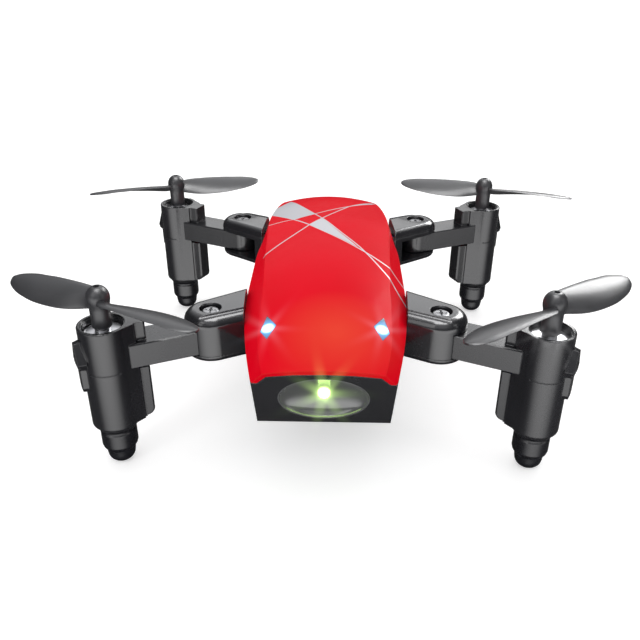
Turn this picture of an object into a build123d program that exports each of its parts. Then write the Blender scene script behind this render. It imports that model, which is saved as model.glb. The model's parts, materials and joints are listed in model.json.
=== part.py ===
"""Palm-size folding quadcopter, built as separate parts, with its four arms open.

Frame: +X to the aircraft's right, +Y towards its tail, +Z up. The origin is the centre of the flat
underside of the lower chassis tray. The geometry is modelled with z measured from the ground,
and every part is lowered by UNDERSIDE when it is written out. Parts that repeat at the corners are
modelled at the front right (+X, -Y) and mirrored.
"""
from build123d import *
import math
import os

os.makedirs("parts", exist_ok=True)

# ---------------------------------------------------------------- driving dimensions, mm
MOTOR_X, MOTOR_Y = 38.4, 32.4        # motor axes, arms open
PIVOT_X, PIVOT_Y = 21.0, 24.4        # arm hinge axes
UNDERSIDE = 12.6                     # height of the tray's flat underside above the ground
PARTING = 22.9                       # height of the line between tray and cover
WALL = 1.0                           # cover and tray wall
FLOOR = 1.2                          # tray floor thickness
PANEL = 1.4                          # nose and tail panel thickness
FIT = 0.05                           # gap between neighbouring parts

EAR_R = 4.9                          # radius of an ear's nose about its hinge
EAR_LOW, EAR_TOP = 20.0, 28.8
EAR_FRONT_DEG, EAR_BACK_DEG = -27.6, -36.0   # directions of its front and back flanks
EAR_ARC_END_DEG = 60.0
EAR_ROOT_X = 11.0                    # inner end of an ear, inside the body
EAR_ROOT_TOP = 25.6                  # inside the cover the ear stays below this
SLOT_LOW, SLOT_TOP = 21.2, 26.2      # hinge slot that takes the arm
SLOT_X = 17.3                        # inner end of the slot
EAR_SPLIT = SLOT_LOW - FIT           # top of the tray's share of an ear
HINGE_POST_R, EYE_BORE_R = 1.75, 1.82   # hinge post and the arm's eye
LEAD_Y, LEAD_Z = 20.6, 25.3          # motor leads where they enter the body

BAR_W, BAR_LOW, BAR_TOP = 6.4, 21.35, 25.95
POD_R, POD_BORE_R = 4.38, 3.53
POD_LOW, POD_TOP = 9.2, 29.6
FOOT_LOW = 0.7                       # lowest point of a foot
MOTOR_R, MOTOR_LOW, MOTOR_TOP = 3.5, 11.6, 28.3
SHAFT_R = 0.5

PROP_R, PROP_Z = 20.9, 33.5          # propeller radius and blade plane
HUB_LOW, HUB_HEIGHT = 28.95, 7.7
PROP_REST = {"fl": -27.5, "fr": 37.0, "rl": 18.5, "rr": -17.0}   # blade line, degrees from +X

POST_X, POST_Y = 6.0, 33.0           # cover screw posts
BOARD_LOW, BOARD_TOP = 23.55, 24.45
ON_BOARD = BOARD_TOP + 0.02          # where soldered parts stand

ARM = math.hypot(MOTOR_X - PIVOT_X, MOTOR_Y - PIVOT_Y)
ARM_ANGLE = math.atan2(-(MOTOR_Y - PIVOT_Y), MOTOR_X - PIVOT_X)   # front right arm, radians

SIDES = (-1, 1)                      # left and right, or front and rear


# ---------------------------------------------------------------- helpers
def box(x0, x1, y0, y1, z0, z1):
    centre = Pos((x0 + x1) / 2, (y0 + y1) / 2, (z0 + z1) / 2)
    return centre * Box(abs(x1 - x0), abs(y1 - y0), abs(z1 - z0))


def slab(z0, z1):
    """Everything between two heights."""
    return box(-60, 60, -60, 60, z0, z1)


def cyl(x, y, radius, z0, z1):
    return Pos(x, y, (z0 + z1) / 2) * Cylinder(radius, abs(z1 - z0))


def raised(face, height):
    """A horizontal face extruded upwards, whichever way it faces."""
    if face.normal_at().Z < 0:
        face = -face
    return Part() + Solid.extrude(face, Vector(0, 0, height))


def prism(points, z0, z1):
    outline = Wire.make_polygon([(x, y, z0) for x, y in points], close=True)
    return raised(Face(outline), z1 - z0)


def turned(face):
    """A profile of (radius, height) revolved about the vertical axis."""
    return revolve(Plane.XZ * face, Axis.Z)


def one(shape):
    """The largest solid of a result, with scraps from grazing cuts dropped."""
    return Part() + max(shape.solids(), key=lambda solid: solid.volume)


def joined(shape, pieces):
    for piece in pieces:
        shape += piece
    return shape


def cut(shape, tools):
    for tool in tools:
        shape -= tool
    return shape


def mirrored(shape, to_left, to_rear):
    if to_left:
        shape = mirror(shape, about=Plane.YZ)
    if to_rear:
        shape = mirror(shape, about=Plane.XZ)
    return shape


def four(shape):
    """The front right shape, and its copies at the other three corners."""
    return [mirrored(shape, left, rear) for rear in (False, True) for left in (False, True)]


def at_hinges(radius, z0, z1):
    return four(cyl(PIVOT_X, -PIVOT_Y, radius, z0, z1))


def at_posts(radius, z0, z1):
    return four(cyl(POST_X, -POST_Y, radius, z0, z1))


def near(value, target):
    return abs(value - target) < 0.01


def pick(shape, test):
    """Edges whose bounding box passes the test."""
    return [edge for edge in shape.edges() if test(edge.bounding_box())]


def flat_at(bounds, z):
    return near(bounds.min.Z, z) and near(bounds.max.Z, z)


def tube_along(points, radius, bend):
    """A round wire through points, with its corners rounded."""
    path = FilletPolyline(*points, radius=bend)
    start = Plane(origin=path @ 0, z_dir=path % 0)
    return sweep(start * Circle(radius), path=path)


# ---------------------------------------------------------------- body shape
def interpolate(table, y):
    """Smooth (monotone cubic) interpolation of (y, value) pairs."""
    ys, values = zip(*table)
    if y <= ys[0]:
        return values[0]
    if y >= ys[-1]:
        return values[-1]
    last = len(ys) - 1
    rates = [(values[i + 1] - values[i]) / (ys[i + 1] - ys[i]) for i in range(last)]
    slopes = [rates[0]]
    for before, after in zip(rates, rates[1:]):
        turning = before * after <= 0
        slopes.append(0 if turning else 2 * before * after / (before + after))
    slopes.append(rates[-1])
    i = max(k for k in range(last) if ys[k] <= y)
    step = ys[i + 1] - ys[i]
    t = (y - ys[i]) / step
    return ((2 * t**3 - 3 * t**2 + 1) * values[i] + (t**3 - 2 * t**2 + t) * step * slopes[i]
            + (-2 * t**3 + 3 * t**2) * values[i + 1] + (t**3 - t**2) * step * slopes[i + 1])


# Body lines, each a list of (y, value): half width at the side edge
HALF_WIDTH = [
    (-46, 10.6), (-41, 12.0), (-36, 13.2), (-30, 14.25), (-24, 14.9), (-14, 15.4), (0, 15.5),
    (12, 15.3), (20, 14.8), (28, 13.9), (35, 12.5), (41, 11.0), (46, 9.6)]
# height of the roof's centre line
ROOF = [
    (-46, 24.3), (-41.2, 26.0), (-36, 27.7), (-30, 29.25), (-24, 30.4), (-16, 31.35), (-8, 31.9),
    (0, 32.15), (10, 32.25), (20, 32.25), (26, 32.15), (30, 31.85), (33, 31.35), (36, 30.4),
    (39, 29.1), (41.2, 27.8), (46, 24.6)]
# height of the side edge
SIDE = [
    (-46, 21.0), (-41.2, 22.4), (-36, 24.2), (-30, 25.8), (-24, 26.7), (-16, 27.0), (0, 27.1),
    (12, 27.1), (24, 26.9), (30, 26.4), (37, 25.2), (41.2, 23.8), (46, 21.4)]
# half width at the roof's crease
CREASE_X = [
    (-46, 8.9), (-41.2, 10.1), (-36, 11.2), (-30, 11.8), (-24, 11.9), (-18, 12.1), (-12, 12.4),
    (0, 13.1), (10, 13.5), (20, 13.5), (28, 12.3), (35, 10.7), (41.2, 9.2), (46, 8.0)]
# drop of the crease below the roof's centre line
CREASE_DROP = [
    (-46, 0.85), (-41.2, 1.0), (-36, 1.2), (-30, 1.45), (-24, 1.65), (-12, 1.8), (0, 1.7),
    (20, 1.6), (30, 1.5), (41.2, 1.5), (46, 1.4)]
DRAFT = 0.905                        # bottom width over side width
LOFT_LOW = 12.0                      # bottom of the loft, cut off at UNDERSIDE
STATIONS = [-45, -40, -34, -27, -18, -6, 8, 20, 28, 33, 37, 41, 45]


def section(y, inset):
    """Body outline at y: arched roof, a facet from crease to side, drafted wall, flat bottom.

    The inset is scaled along each sloping line so that the wall keeps about its thickness.
    """
    half_width = interpolate(HALF_WIDTH, y)
    top = interpolate(ROOF, y)
    crease_z = top - interpolate(CREASE_DROP, y) - 0.95 * inset
    side_z = interpolate(SIDE, y) - 0.35 * inset
    bottom = half_width * DRAFT - inset
    low = LOFT_LOW + inset * 1.15
    corners = [(interpolate(CREASE_X, y) - 0.45 * inset, crease_z), (half_width - inset, side_z),
               (bottom + 0.04, low + 0.9), (bottom - 0.8, low)]
    right = [Vector(x, y, z) for x, z in corners]
    left = [Vector(-x, y, z) for x, z in reversed(corners)]
    around = right + left
    roof = Edge.make_three_point_arc(left[-1], Vector(0, y, top - inset), right[0])
    return Wire([roof] + [Edge.make_line(a, b) for a, b in zip(around, around[1:])])


def hull(inset):
    return Part() + Solid.make_loft([section(y, inset) for y in STATIONS])


OUTER = hull(0.0)
INNER = hull(WALL)
INNER_FREE = hull(WALL + 0.12)       # what fits inside the shell with clearance

# the nose and tail are cut by planes through (END_Y, END_Z) that lean inwards going down
END_Y, END_Z = 41.2, 26.0
LEAN_RUN, LEAN_RISE = 4.0, 13.0
LEAN = math.atan2(LEAN_RUN, LEAN_RISE)


def end_plane(sign, depth):
    """The plane of the nose (sign -1) or tail (+1), moved inwards by depth, facing outwards."""
    normal = Vector(0, sign * math.cos(LEAN), -math.sin(LEAN))
    origin = Vector(0, sign * END_Y, END_Z) - normal * depth
    return Plane(origin=origin, x_dir=(-sign, 0, 0), z_dir=normal)


def between(shape, depth):
    """The stretch of shape between the nose and tail planes, both moved inwards by depth."""
    shape = split(shape, bisect_by=end_plane(-1, depth), keep=Keep.BOTTOM)
    return split(shape, bisect_by=end_plane(1, depth), keep=Keep.BOTTOM)


def end_layer(shape, sign, depth0, depth1):
    """The layer of shape between two depths behind one end plane."""
    shape = split(shape, bisect_by=end_plane(sign, depth0), keep=Keep.BOTTOM)
    return split(shape, bisect_by=end_plane(sign, depth1), keep=Keep.TOP)


ABOVE = slab(PARTING + FIT / 2, 60)
BELOW = slab(UNDERSIDE, PARTING - FIT / 2)


# ---------------------------------------------------------------- ears
def ear_arc(grow, z):
    """Start, middle and end of the front right ear's nose arc about the hinge."""
    start, end = EAR_FRONT_DEG - 90, EAR_ARC_END_DEG
    radius = EAR_R + grow
    angles = [math.radians(degrees) for degrees in (start, (start + end) / 2, end)]
    return [Vector(PIVOT_X + radius * math.cos(a), -PIVOT_Y + radius * math.sin(a), z)
            for a in angles]


def ear_prism(grow, z0, z1, root=EAR_ROOT_X):
    """The front right ear in plan: the nose arc, widening to its root in the body."""
    front, middle, back = ear_arc(grow, z0)

    def at_root(point, degrees):
        return Vector(root, point.Y + (root - point.X) * math.tan(math.radians(degrees)), z0)

    front_root = at_root(front, EAR_FRONT_DEG)
    back_root = at_root(back, EAR_BACK_DEG)
    outline = Wire([
        Edge.make_three_point_arc(front, middle, back), Edge.make_line(back, back_root),
        Edge.make_line(back_root, front_root), Edge.make_line(front_root, front)])
    return raised(Face(outline), z1 - z0)


def rim(shape, z):
    """Edges that lie wholly at height z, except the root's own."""
    return pick(shape, lambda bounds: flat_at(bounds, z) and bounds.max.X > EAR_ROOT_X + 0.1)


def plan_prism(extra, z0, z1):
    """Everything inside the body's widest plan outline, between two heights."""
    right = [(interpolate(HALF_WIDTH, y) + extra, y) for y in range(-44, 45, 2)]
    return prism(right + [(-x, y) for x, y in reversed(right)], z0, z1)


def make_ear(grow):
    """A shoulder with a strongly rounded upper edge; only its low root runs into the cover."""
    ear = ear_prism(grow, EAR_LOW - grow, EAR_TOP + grow)
    ear = fillet(rim(ear, EAR_TOP + grow), 2.05)
    ear = fillet(rim(ear, EAR_LOW - grow), 0.85)
    ear -= plan_prism(0.08 - grow, EAR_ROOT_TOP + grow, EAR_TOP + 3)
    return one(ear)


def ear_groove():
    """A long shallow scoop in the ear's top, parallel to its front flank."""
    slope = math.radians(EAR_FRONT_DEG)
    along = Vector(math.cos(slope), math.sin(slope), 0)
    inward = Vector(-math.sin(slope), math.cos(slope), 0)
    start = ear_arc(0.0, EAR_TOP + 0.33)[0] + inward * 1.8 - along * 6.0
    scoop = Cylinder(0.8, 9.6, align=(Align.CENTER, Align.CENTER, Align.MIN))
    return Plane(origin=start, z_dir=along) * scoop


def arm_slot():
    """The front right arm's slot: walled towards the nose, open on the outer and inner sides."""
    cos, sin = math.cos(ARM_ANGLE), math.sin(ARM_ANGLE)
    offset = BAR_W / 2 + 0.15
    wall_x, wall_y = PIVOT_X + sin * offset, -PIVOT_Y - cos * offset
    reach, open_y = 16, -4
    inner = (SLOT_X - wall_x) / cos
    wall = [(wall_x + cos * s, wall_y + sin * s) for s in (inner, reach)]
    return prism(wall + [(PIVOT_X + reach, open_y), (SLOT_X, open_y)], EAR_SPLIT, SLOT_TOP)


def lead_hole(radius, length):
    """A hole along X for the front right motor leads."""
    return Pos(14, -LEAD_Y, LEAD_Z) * Rot(0, 90, 0) * Cylinder(radius, length)


def make_ear_upper(ear):
    """The ear frame's share of an ear."""
    upper = one(split(ear, bisect_by=Plane.XY.offset(SLOT_LOW), keep=Keep.TOP) - arm_slot())
    upper -= cyl(PIVOT_X, -PIVOT_Y, 2.05, EAR_TOP - 1.5, EAR_TOP + 1)     # screw head recess
    upper -= cyl(PIVOT_X, -PIVOT_Y, 0.85, SLOT_TOP - 1, EAR_TOP)
    upper -= lead_hole(1.15, 12)
    return one(upper)


EAR = one(make_ear(0.0) - ear_groove())

# ---------------------------------------------------------------- lower chassis tray
SWITCH_Y = 21.5
IN_FLOOR = UNDERSIDE + 0.8           # ribs and posts start inside the floor

# reflector ellipse in the nose panel
LAMP_Z, LAMP_RX, LAMP_RZ = 19.1, 7.9, 5.3
LED_UP = -0.35                       # lamp bead off the bowl's centre, along the panel
LAMP_Y = -END_Y + (END_Z - LAMP_Z) * LEAN_RUN / LEAN_RISE
LAMP = Plane(origin=(0, LAMP_Y, LAMP_Z), x_dir=(1, 0, 0), z_dir=end_plane(-1, 0).z_dir)


def ledge_posts(radius, z0, z1):
    """The four posts that carry the ear frame's plate."""
    return [cyl(side * 8.3, y, radius, z0, z1) for y in (-28.5, 28.0) for side in SIDES]


def make_tray():
    tray = one((between(OUTER, PANEL + FIT) & BELOW) - (INNER & slab(UNDERSIDE + FLOOR, 60)))
    tray = cut(tray, four(ear_prism(0.12, EAR_SPLIT, EAR_TOP + 3, root=9.0)))
    room = between(INNER, PANEL + 1.2) & slab(0, 60)
    ear_lower = one(split(EAR, bisect_by=Plane.XY.offset(EAR_SPLIT), keep=Keep.BOTTOM))
    tray = joined(tray, [ear - room for ear in four(ear_lower)])
    # hinge posts with their screw holes
    tray = joined(tray, at_hinges(HINGE_POST_R, SLOT_LOW - 1.2, SLOT_TOP - FIT))
    tray = cut(tray, at_hinges(0.73, SLOT_LOW - 0.1, SLOT_TOP))
    # cover screw posts, counterbored from below
    tray = joined(tray, at_posts(2.5, UNDERSIDE + 0.6, 19.2))
    tray = cut(tray, at_posts(1.65, UNDERSIDE - 1, 17.8))
    tray = cut(tray, at_posts(0.85, 17, 20))
    # battery cradle ribs
    for side in SIDES:
        for y0, y1 in ((-17.5, -12.5), (6.5, 11.5)):
            tray += box(side * 10.3, side * 11.2, y0, y1, IN_FLOOR, 17.5)
    for y0, y1 in ((-19.2, -18.3), (12.4, 13.3)):
        tray += box(-6, 6, y0, y1, IN_FLOOR, 17.0)
    tray = joined(tray, ledge_posts(1.3, IN_FLOOR, EAR_SPLIT))
    # switch slot in the floor
    tray -= box(-2.6, 2.6, SWITCH_Y - 1.0, SWITCH_Y + 1.0, UNDERSIDE - 1, UNDERSIDE + 3)
    # row of cooling slots in the forward floor
    for k in range(5):
        slot = extrude(SlotOverall(8.0, 0.8), 6, both=True)
        tray -= Pos(0, -26.6 + 1.9 * k, UNDERSIDE) * slot
    # room for the reflector
    bay = extrude(Ellipse(LAMP_RX + 0.1, LAMP_RZ + 0.1), -5.1)
    return one(one(tray) - LAMP * (Pos(0, 0, 2) * bay))


# ---------------------------------------------------------------- ear frame (upper chassis)
def make_ear_frame():
    room = between(INNER_FREE, PANEL + 2)
    plate = box(-12.4, 12.4, -30.5, 30.5, SLOT_LOW, SLOT_LOW + 1.2) & room
    for half_width, y0, y1 in ((6.5, -9.5, 16.0), (4.2, 18.0, 25.0), (4.2, -25.0, -17.5)):
        plate -= box(-half_width, half_width, y0, y1, 20, 24)
    frame = joined(Part() + plate, four(make_ear_upper(EAR)))
    # blocks that tie the ear roots to the plate inside the body
    ties = four(box(9.9, 12.0, -23.4, -15.6, SLOT_LOW, 24.2))
    frame = joined(frame, [tie & room for tie in ties])
    frame = joined(frame, ledge_posts(1.2, SLOT_LOW, 23.5))
    frame = cut(frame, at_posts(2.15, 20, 26))
    return one(frame)


# ---------------------------------------------------------------- top cover
# window with cropped corners behind the rim at nose and tail, (x, z)
WINDOW_HALF = 11.2
WINDOW = [(-WINDOW_HALF, 20.0), (-WINDOW_HALF, 22.75), (-9.5, 24.45), (-5, 24.95), (0, 25.1),
          (5, 24.95), (9.5, 24.45), (WINDOW_HALF, 22.75), (WINDOW_HALF, 20.0)]
WINDOW_GAP = 0.06

# right front side light, plan outline (x, y), scaled about its centre
DIAMOND = [(10.4, -27.1), (8.5, -30.1), (9.95, -33.4), (11.3, -31.2)]
DIAMOND_X, DIAMOND_Y = 10.0, -30.45


def window_prism(grow, sign):
    """The nose or tail window as a bar along Y, grown at its sides and top."""
    widen = 1 + grow / WINDOW_HALF
    points = [(x * widen, 0, z + (grow if z > 21 else 0)) for x, z in WINDOW]
    face = Face(Wire.make_polygon(points, close=True))
    return Pos(0, sign * 41 - 10, 0) * (Part() + Solid.extrude(face, Vector(0, 20, 0)))


def flange(sign):
    layer = end_layer(OUTER & ABOVE, sign, 0.35, PANEL + 0.6)
    return layer - window_prism(WINDOW_GAP, sign)


def diamond(side, size, z0, z1):
    points = [(side * (DIAMOND_X + (x - DIAMOND_X) * size), DIAMOND_Y + (y - DIAMOND_Y) * size)
              for x, y in DIAMOND]
    return prism(points, z0, z1)


def make_cover():
    cover = one((between(OUTER, 0) & ABOVE) - INNER)
    for sign in SIDES:
        cover += flange(sign)
        cover -= end_layer(window_prism(WINDOW_GAP, sign), sign, -3.0, PANEL + 0.04)
    cover = one(cover)
    cover = cut(cover, four(make_ear(FIT)))
    # the motor leads pass just below the top of the ear root
    cover = cut(cover, four(lead_hole(1.0, 8)))
    room = between(OUTER, 0.8)
    cover = joined(cover, [boss & room for boss in at_posts(1.8, 19.25, 29.0)])
    cover = cut(cover, at_posts(0.72, 19, 25.5))
    cover = cut(cover, [diamond(side, 1.0, 24.0, 40) for side in SIDES])
    return one(cover)


# ---------------------------------------------------------------- nose and tail panels
PORT_Z, PORT_W, PORT_H = 21.9, 7.6, 2.7      # charge port


def panel(sign):
    """An end panel: the full section below the parting line, the window's shape above it."""
    lower = OUTER & slab(UNDERSIDE + 0.4, PARTING - FIT / 2)
    upper = OUTER & slab(PARTING - 0.03, 40) & window_prism(0.0, sign)
    return one(end_layer(lower + upper, sign, 0.0, PANEL))


def make_nose():
    return one(panel(-1) - LAMP * extrude(Ellipse(LAMP_RX, LAMP_RZ), 4, both=True))


def make_reflector():
    """An elliptical dish with its rim flush in the nose panel and a hole for the lamp."""
    block = Pos(0, 0, -0.02) * extrude(Ellipse(LAMP_RX - 0.03, LAMP_RZ - 0.03), -2.9)
    bowl = scale(Sphere(1.0), by=(LAMP_RX - 0.2, LAMP_RZ - 0.2, 2.4))
    reflector = one(LAMP * block - LAMP * bowl)
    return one(reflector - LAMP * (Pos(0, LED_UP, -3) * Cylinder(1.07, 8)))


def make_headlight():
    base_up = (Align.CENTER, Align.CENTER, Align.MIN)
    led = Cylinder(1.0, 1.7, align=base_up) + Pos(0, 0, 1.7) * Sphere(1.0)
    led += Cylinder(1.35, 0.5, align=base_up)
    return one(LAMP * (Pos(0, LED_UP, -3.55) * led))


def make_tail():
    """The tail panel, with the port opening and three shallow level grooves."""
    tail = panel(1)
    half_w, half_h = PORT_W / 2 + 0.15, PORT_H / 2 + 0.15
    tail -= box(-half_w, half_w, 34, 46, PORT_Z - half_h, PORT_Z + half_h)
    skin = split(box(-10, 10, 30, 50, 0, 40), bisect_by=end_plane(1, 0.7), keep=Keep.TOP)
    for k in (-1, 0, 1):
        z = 16.2 + 1.5 * k
        tail -= box(-6.5, 6.5, 34, 46, z - 0.3, z + 0.3) & skin
    return one(tail)


# ---------------------------------------------------------------- electronics
# plan outline (x, y)
BOARD = [
    (-9.9, -34.6), (9.9, -34.6), (11.2, -32.8), (11.6, -27.8), (9.7, -26.8), (9.7, 26.8),
    (11.2, 27.8), (10.4, 33.5), (9.0, 37.2), (-9.0, 37.2), (-10.4, 33.5), (-11.2, 27.8),
    (-9.7, 26.8), (-9.7, -26.8), (-11.6, -27.8), (-11.2, -32.8)]
# centre x, y, width, depth, height
FLIGHT_CHIPS = [(0, 2.0, 5.2, 6.6, 1.1), (0.5, -11.5, 3.6, 4.8, 1.0),
                (-5.4, -6.5, 2.4, 3.6, 0.9), (5.4, -6.0, 2.2, 3.2, 1.0)]
# x0, x1, y0, y1, height above the board
CRYSTAL_AND_CHOKE = [(4.2, 7.6, 5.0, 6.8, 1.3), (-7.8, -5.2, 8.0, 10.0, 1.2)]
# centre x, y
PASSIVES = [
    (3.2, 11.5), (5.0, 11.5), (-2.6, 12.4), (-4.4, 12.4), (2.4, -16.2), (-2.4, -16.2),
    (7.6, 1.2), (-7.4, 2.6), (3.0, 16.4), (-3.0, 16.4), (0.0, 22.0), (1.8, 24.5),
    (-1.8, 24.5), (0, -22.5), (3.4, -24.0), (-3.4, -24.0)]
LEG_PITCH = 0.9
BATTERY_LOW, BATTERY_REAR = 14.3, 11.8


def light_window(side):
    """A plug in the cover's diamond opening, with a wider foot inside."""
    plug = diamond(side, 0.955, 25.6, 40) & OUTER
    plug += diamond(side, 1.18, 25.55, 26.3)
    return one(plug - (OUTER - INNER_FREE - diamond(side, 0.96, 20, 50)))


def make_board():
    return one(cut(prism(BOARD, BOARD_LOW, BOARD_TOP), at_posts(2.1, 20, 30)))


def chip(x, y, width, depth, height):
    """A chip body with a row of legs reaching out on both sides."""
    low, half = BOARD_TOP + 0.1, width / 2
    body = box(x - half, x + half, y - depth / 2, y + depth / 2, low, low + height)
    count = int((depth - 0.8) / LEG_PITCH)
    reach = half + 0.55
    for k in range(count):
        leg_y = y - (count - 1) * LEG_PITCH / 2 + LEG_PITCH * k
        body += box(x - reach, x + reach, leg_y - 0.17, leg_y + 0.17, ON_BOARD, BOARD_TOP + 0.3)
    return body


def on_board(x, y, half_x, half_y, height):
    """A plain block standing on the board, its top at height above the board."""
    return box(x - half_x, x + half_x, y - half_y, y + half_y, ON_BOARD, BOARD_TOP + height)


def rounded_block(x0, x1, y0, y1, height):
    block = box(x0, x1, y0, y1, ON_BOARD, BOARD_TOP + height)
    return fillet(block.edges().filter_by(Axis.Z), 0.5)


def make_battery():
    battery = box(-10, 10, -17.6, BATTERY_REAR, BATTERY_LOW, 20.9)
    return fillet(battery.edges().filter_by(Axis.Y), 1.6)


def battery_lead(x):
    return tube_along([(x, 12.4, 18.0), (x, 14.8, 18.0), (x, 14.8, 23.5)], radius=0.45, bend=1.0)


def make_port():
    """A sleeve with rounded lower corners, open to the rear, with a tongue inside."""
    half_w, half_h, wall = PORT_W / 2, PORT_H / 2, 0.35
    port = box(-half_w, half_w, 33.4, 40.1, PORT_Z - half_h, PORT_Z + half_h)
    port = fillet(port.edges().filter_by(Axis.Y).sort_by(Axis.Z)[:2], 0.9)
    port = (Part() + port) - box(-half_w + wall, half_w - wall, 34.5, 42,
                                 PORT_Z - half_h + wall, PORT_Z + half_h - wall)
    port += box(-1.9, 1.9, 34.2, 39.0, PORT_Z + 0.15, PORT_Z + 0.65)
    return one(port)


def switch_box(x0, x1, half_y, z0, z1):
    """A box about the switch's centre line, heights from the tray's underside."""
    return box(x0, x1, SWITCH_Y - half_y, SWITCH_Y + half_y, UNDERSIDE + z0, UNDERSIDE + z1)


def make_switch_base():
    base = switch_box(-4.3, 4.3, 1.9, 1.25, 4.6)
    base -= switch_box(-2.5, 2.5, 0.95, 0, 3.2)
    for x in (-2.5, 0, 2.5):                         # pins
        base += switch_box(x - 0.25, x + 0.25, 0.4, 4.6, 6.2)
    return one(base)


def make_knob():
    knob = one(switch_box(-2.2, -0.2, 0.8, 0.1, 3.0))
    for k in range(3):                               # grooves across its lower face
        knob -= switch_box(-1.95 + 0.6 * k, -1.65 + 0.6 * k, 1, -1, 0.35)
    return one(knob)


def make_antenna():
    x, y, z = 7.2, 20.5, 27.6
    points = [(x, y, BOARD_TOP + 0.35), (x, y, z), (x, -6.0, z), (-2.0, -6.0, z)]
    return tube_along(points, radius=0.3, bend=1.2)


def body_leads():
    """A pair of motor leads from each ear down to the board."""
    leads = []
    for dy in (-0.45, 0.45):
        y = -LEAD_Y + dy
        points = [(16.9, y, LEAD_Z), (8.6, y, LEAD_Z), (8.6, y, BOARD_TOP + 0.05)]
        leads += four(tube_along(points, radius=0.36, bend=0.5))
    return leads


# ---------------------------------------------------------------- fasteners
def screw(head_r, head_h, radius, length):
    """Pan head with a cross recess; the seat is z 0, the shank runs down."""
    head = extrude(Circle(head_r), head_h)
    head = fillet(head.edges().sort_by(Axis.Z)[-1:], head_h * 0.55)
    body = head + Pos(0, 0, -length) * extrude(Circle(radius), length + 0.1)
    body = chamfer(body.edges().sort_by(Axis.Z)[:1], radius * 0.5)
    cross = Box(head_r * 1.25, 0.32, 1.0) + Box(0.32, head_r * 1.25, 1.0) + Cylinder(0.36, 1.0)
    return one(body - Pos(0, 0, head_h) * cross)


pivot_screw = Pos(PIVOT_X, -PIVOT_Y, EAR_TOP - 1.48) * screw(1.75, 1.05, 0.7, 5.0)
cover_screw = Pos(POST_X, -POST_Y, 17.78) * Rot(180, 0, 0) * screw(1.5, 0.95, 0.7, 6.6)

# ---------------------------------------------------------------- arm
# Arm axes: the hinge at the origin, x along the bar, the pod at x = ARM. PLACE turns the
# finished piece into the front right corner.
PLACE = Pos(PIVOT_X, -PIVOT_Y, 0) * Rot(0, 0, math.degrees(ARM_ANGLE))
AT_POD = Pos(ARM, 0, 0)
RIB_END = ARM - 6.9                  # face of the wire duct's rib towards the hinge
RIB_LOW, RIB_TOP = 9.9, POD_TOP - 0.02
CHANNEL_TOP = BAR_TOP - 1.05
GRIP_DEG = -5.3                      # grip's turn about the pod

# turned cutters for the pod's lower shoulder and upper lip, (radius, height)
SHOULDER = [
    (POD_R - 0.75, POD_LOW - 1), (POD_R + 1.0, POD_LOW - 1), (POD_R + 1.0, POD_LOW + 0.85),
    (POD_R, POD_LOW + 0.85), (POD_R - 0.07, POD_LOW + 0.45), (POD_R - 0.3, POD_LOW + 0.15),
    (POD_R - 0.75, POD_LOW)]
LIP = [
    (POD_R - 0.22, POD_TOP + 0.5), (POD_R - 0.22, POD_TOP), (POD_R - 0.06, POD_TOP - 0.07),
    (POD_R, POD_TOP - 0.24), (POD_R + 0.4, POD_TOP - 0.24), (POD_R + 0.4, POD_TOP + 0.5)]
# flats that run off the pod and close on the rib, (x, y)
GUSSET = [
    (ARM - 1.2, -4.2), (ARM - 1.2, 4.2), (ARM - 4.7, 2.45), (ARM - 5.3, 2.25),
    (ARM - 5.3, -2.25), (ARM - 4.7, -2.45)]
# grip outlines on the pod's outer side, (y, z)
CHEVRON = [(-0.7, 27.3), (0.7, 27.3), (2.35, 23.5), (1.95, 22.2), (-1.95, 22.2), (-2.35, 23.5)]
TAB = [(-1.55, 22.3), (1.55, 22.3), (1.5, 18.3), (0.9, 17.3), (-0.9, 17.3), (-1.5, 18.3)]
VEE = [(-1.9, 22.75), (0, 25.6), (1.9, 22.75), (1.9, 23.2), (0, 26.05), (-1.9, 23.2)]


def make_rib():
    """The flat rib between bar and pod that holds the wire duct."""
    rib = box(RIB_END, ARM - 2, -1.9, 1.9, RIB_LOW, RIB_TOP)
    rib = fillet(pick(rib, lambda bounds: near(bounds.max.X, RIB_END)
                      and near(bounds.max.Z, RIB_LOW) and bounds.size.Y > 1), 1.6)
    return chamfer(pick(rib, lambda bounds: near(bounds.max.X, RIB_END)
                        and bounds.size.Z > 5), 0.3)


def extrude_out(points, depth, taper=0.0):
    """A (y, z) outline extruded along +X."""
    face = make_face(Plane.YZ * Polyline(*points, close=True))
    return extrude(face, depth, dir=(1, 0, 0), taper=taper)


def make_grip():
    """A raised chevron over a tab."""
    grip = extrude_out(CHEVRON, 1.45, taper=12) + extrude_out(TAB, 1.15, taper=10)
    grip = Pos(POD_R - 0.45, 0, 0) * grip
    for dz in (0.0, -1.0):                           # two shallow V grooves in the chevron
        vee = extrude_out([(y, z + dz) for y, z in VEE], 2.0)
        grip -= Pos(POD_R + 0.68, 0, 0) * vee & box(0, 20, -3, 3, 22.35, 30)
    grip = AT_POD * Rot(0, 0, GRIP_DEG) * grip
    return grip - cyl(ARM, 0, POD_BORE_R + 0.4, 0, 40)


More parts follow.
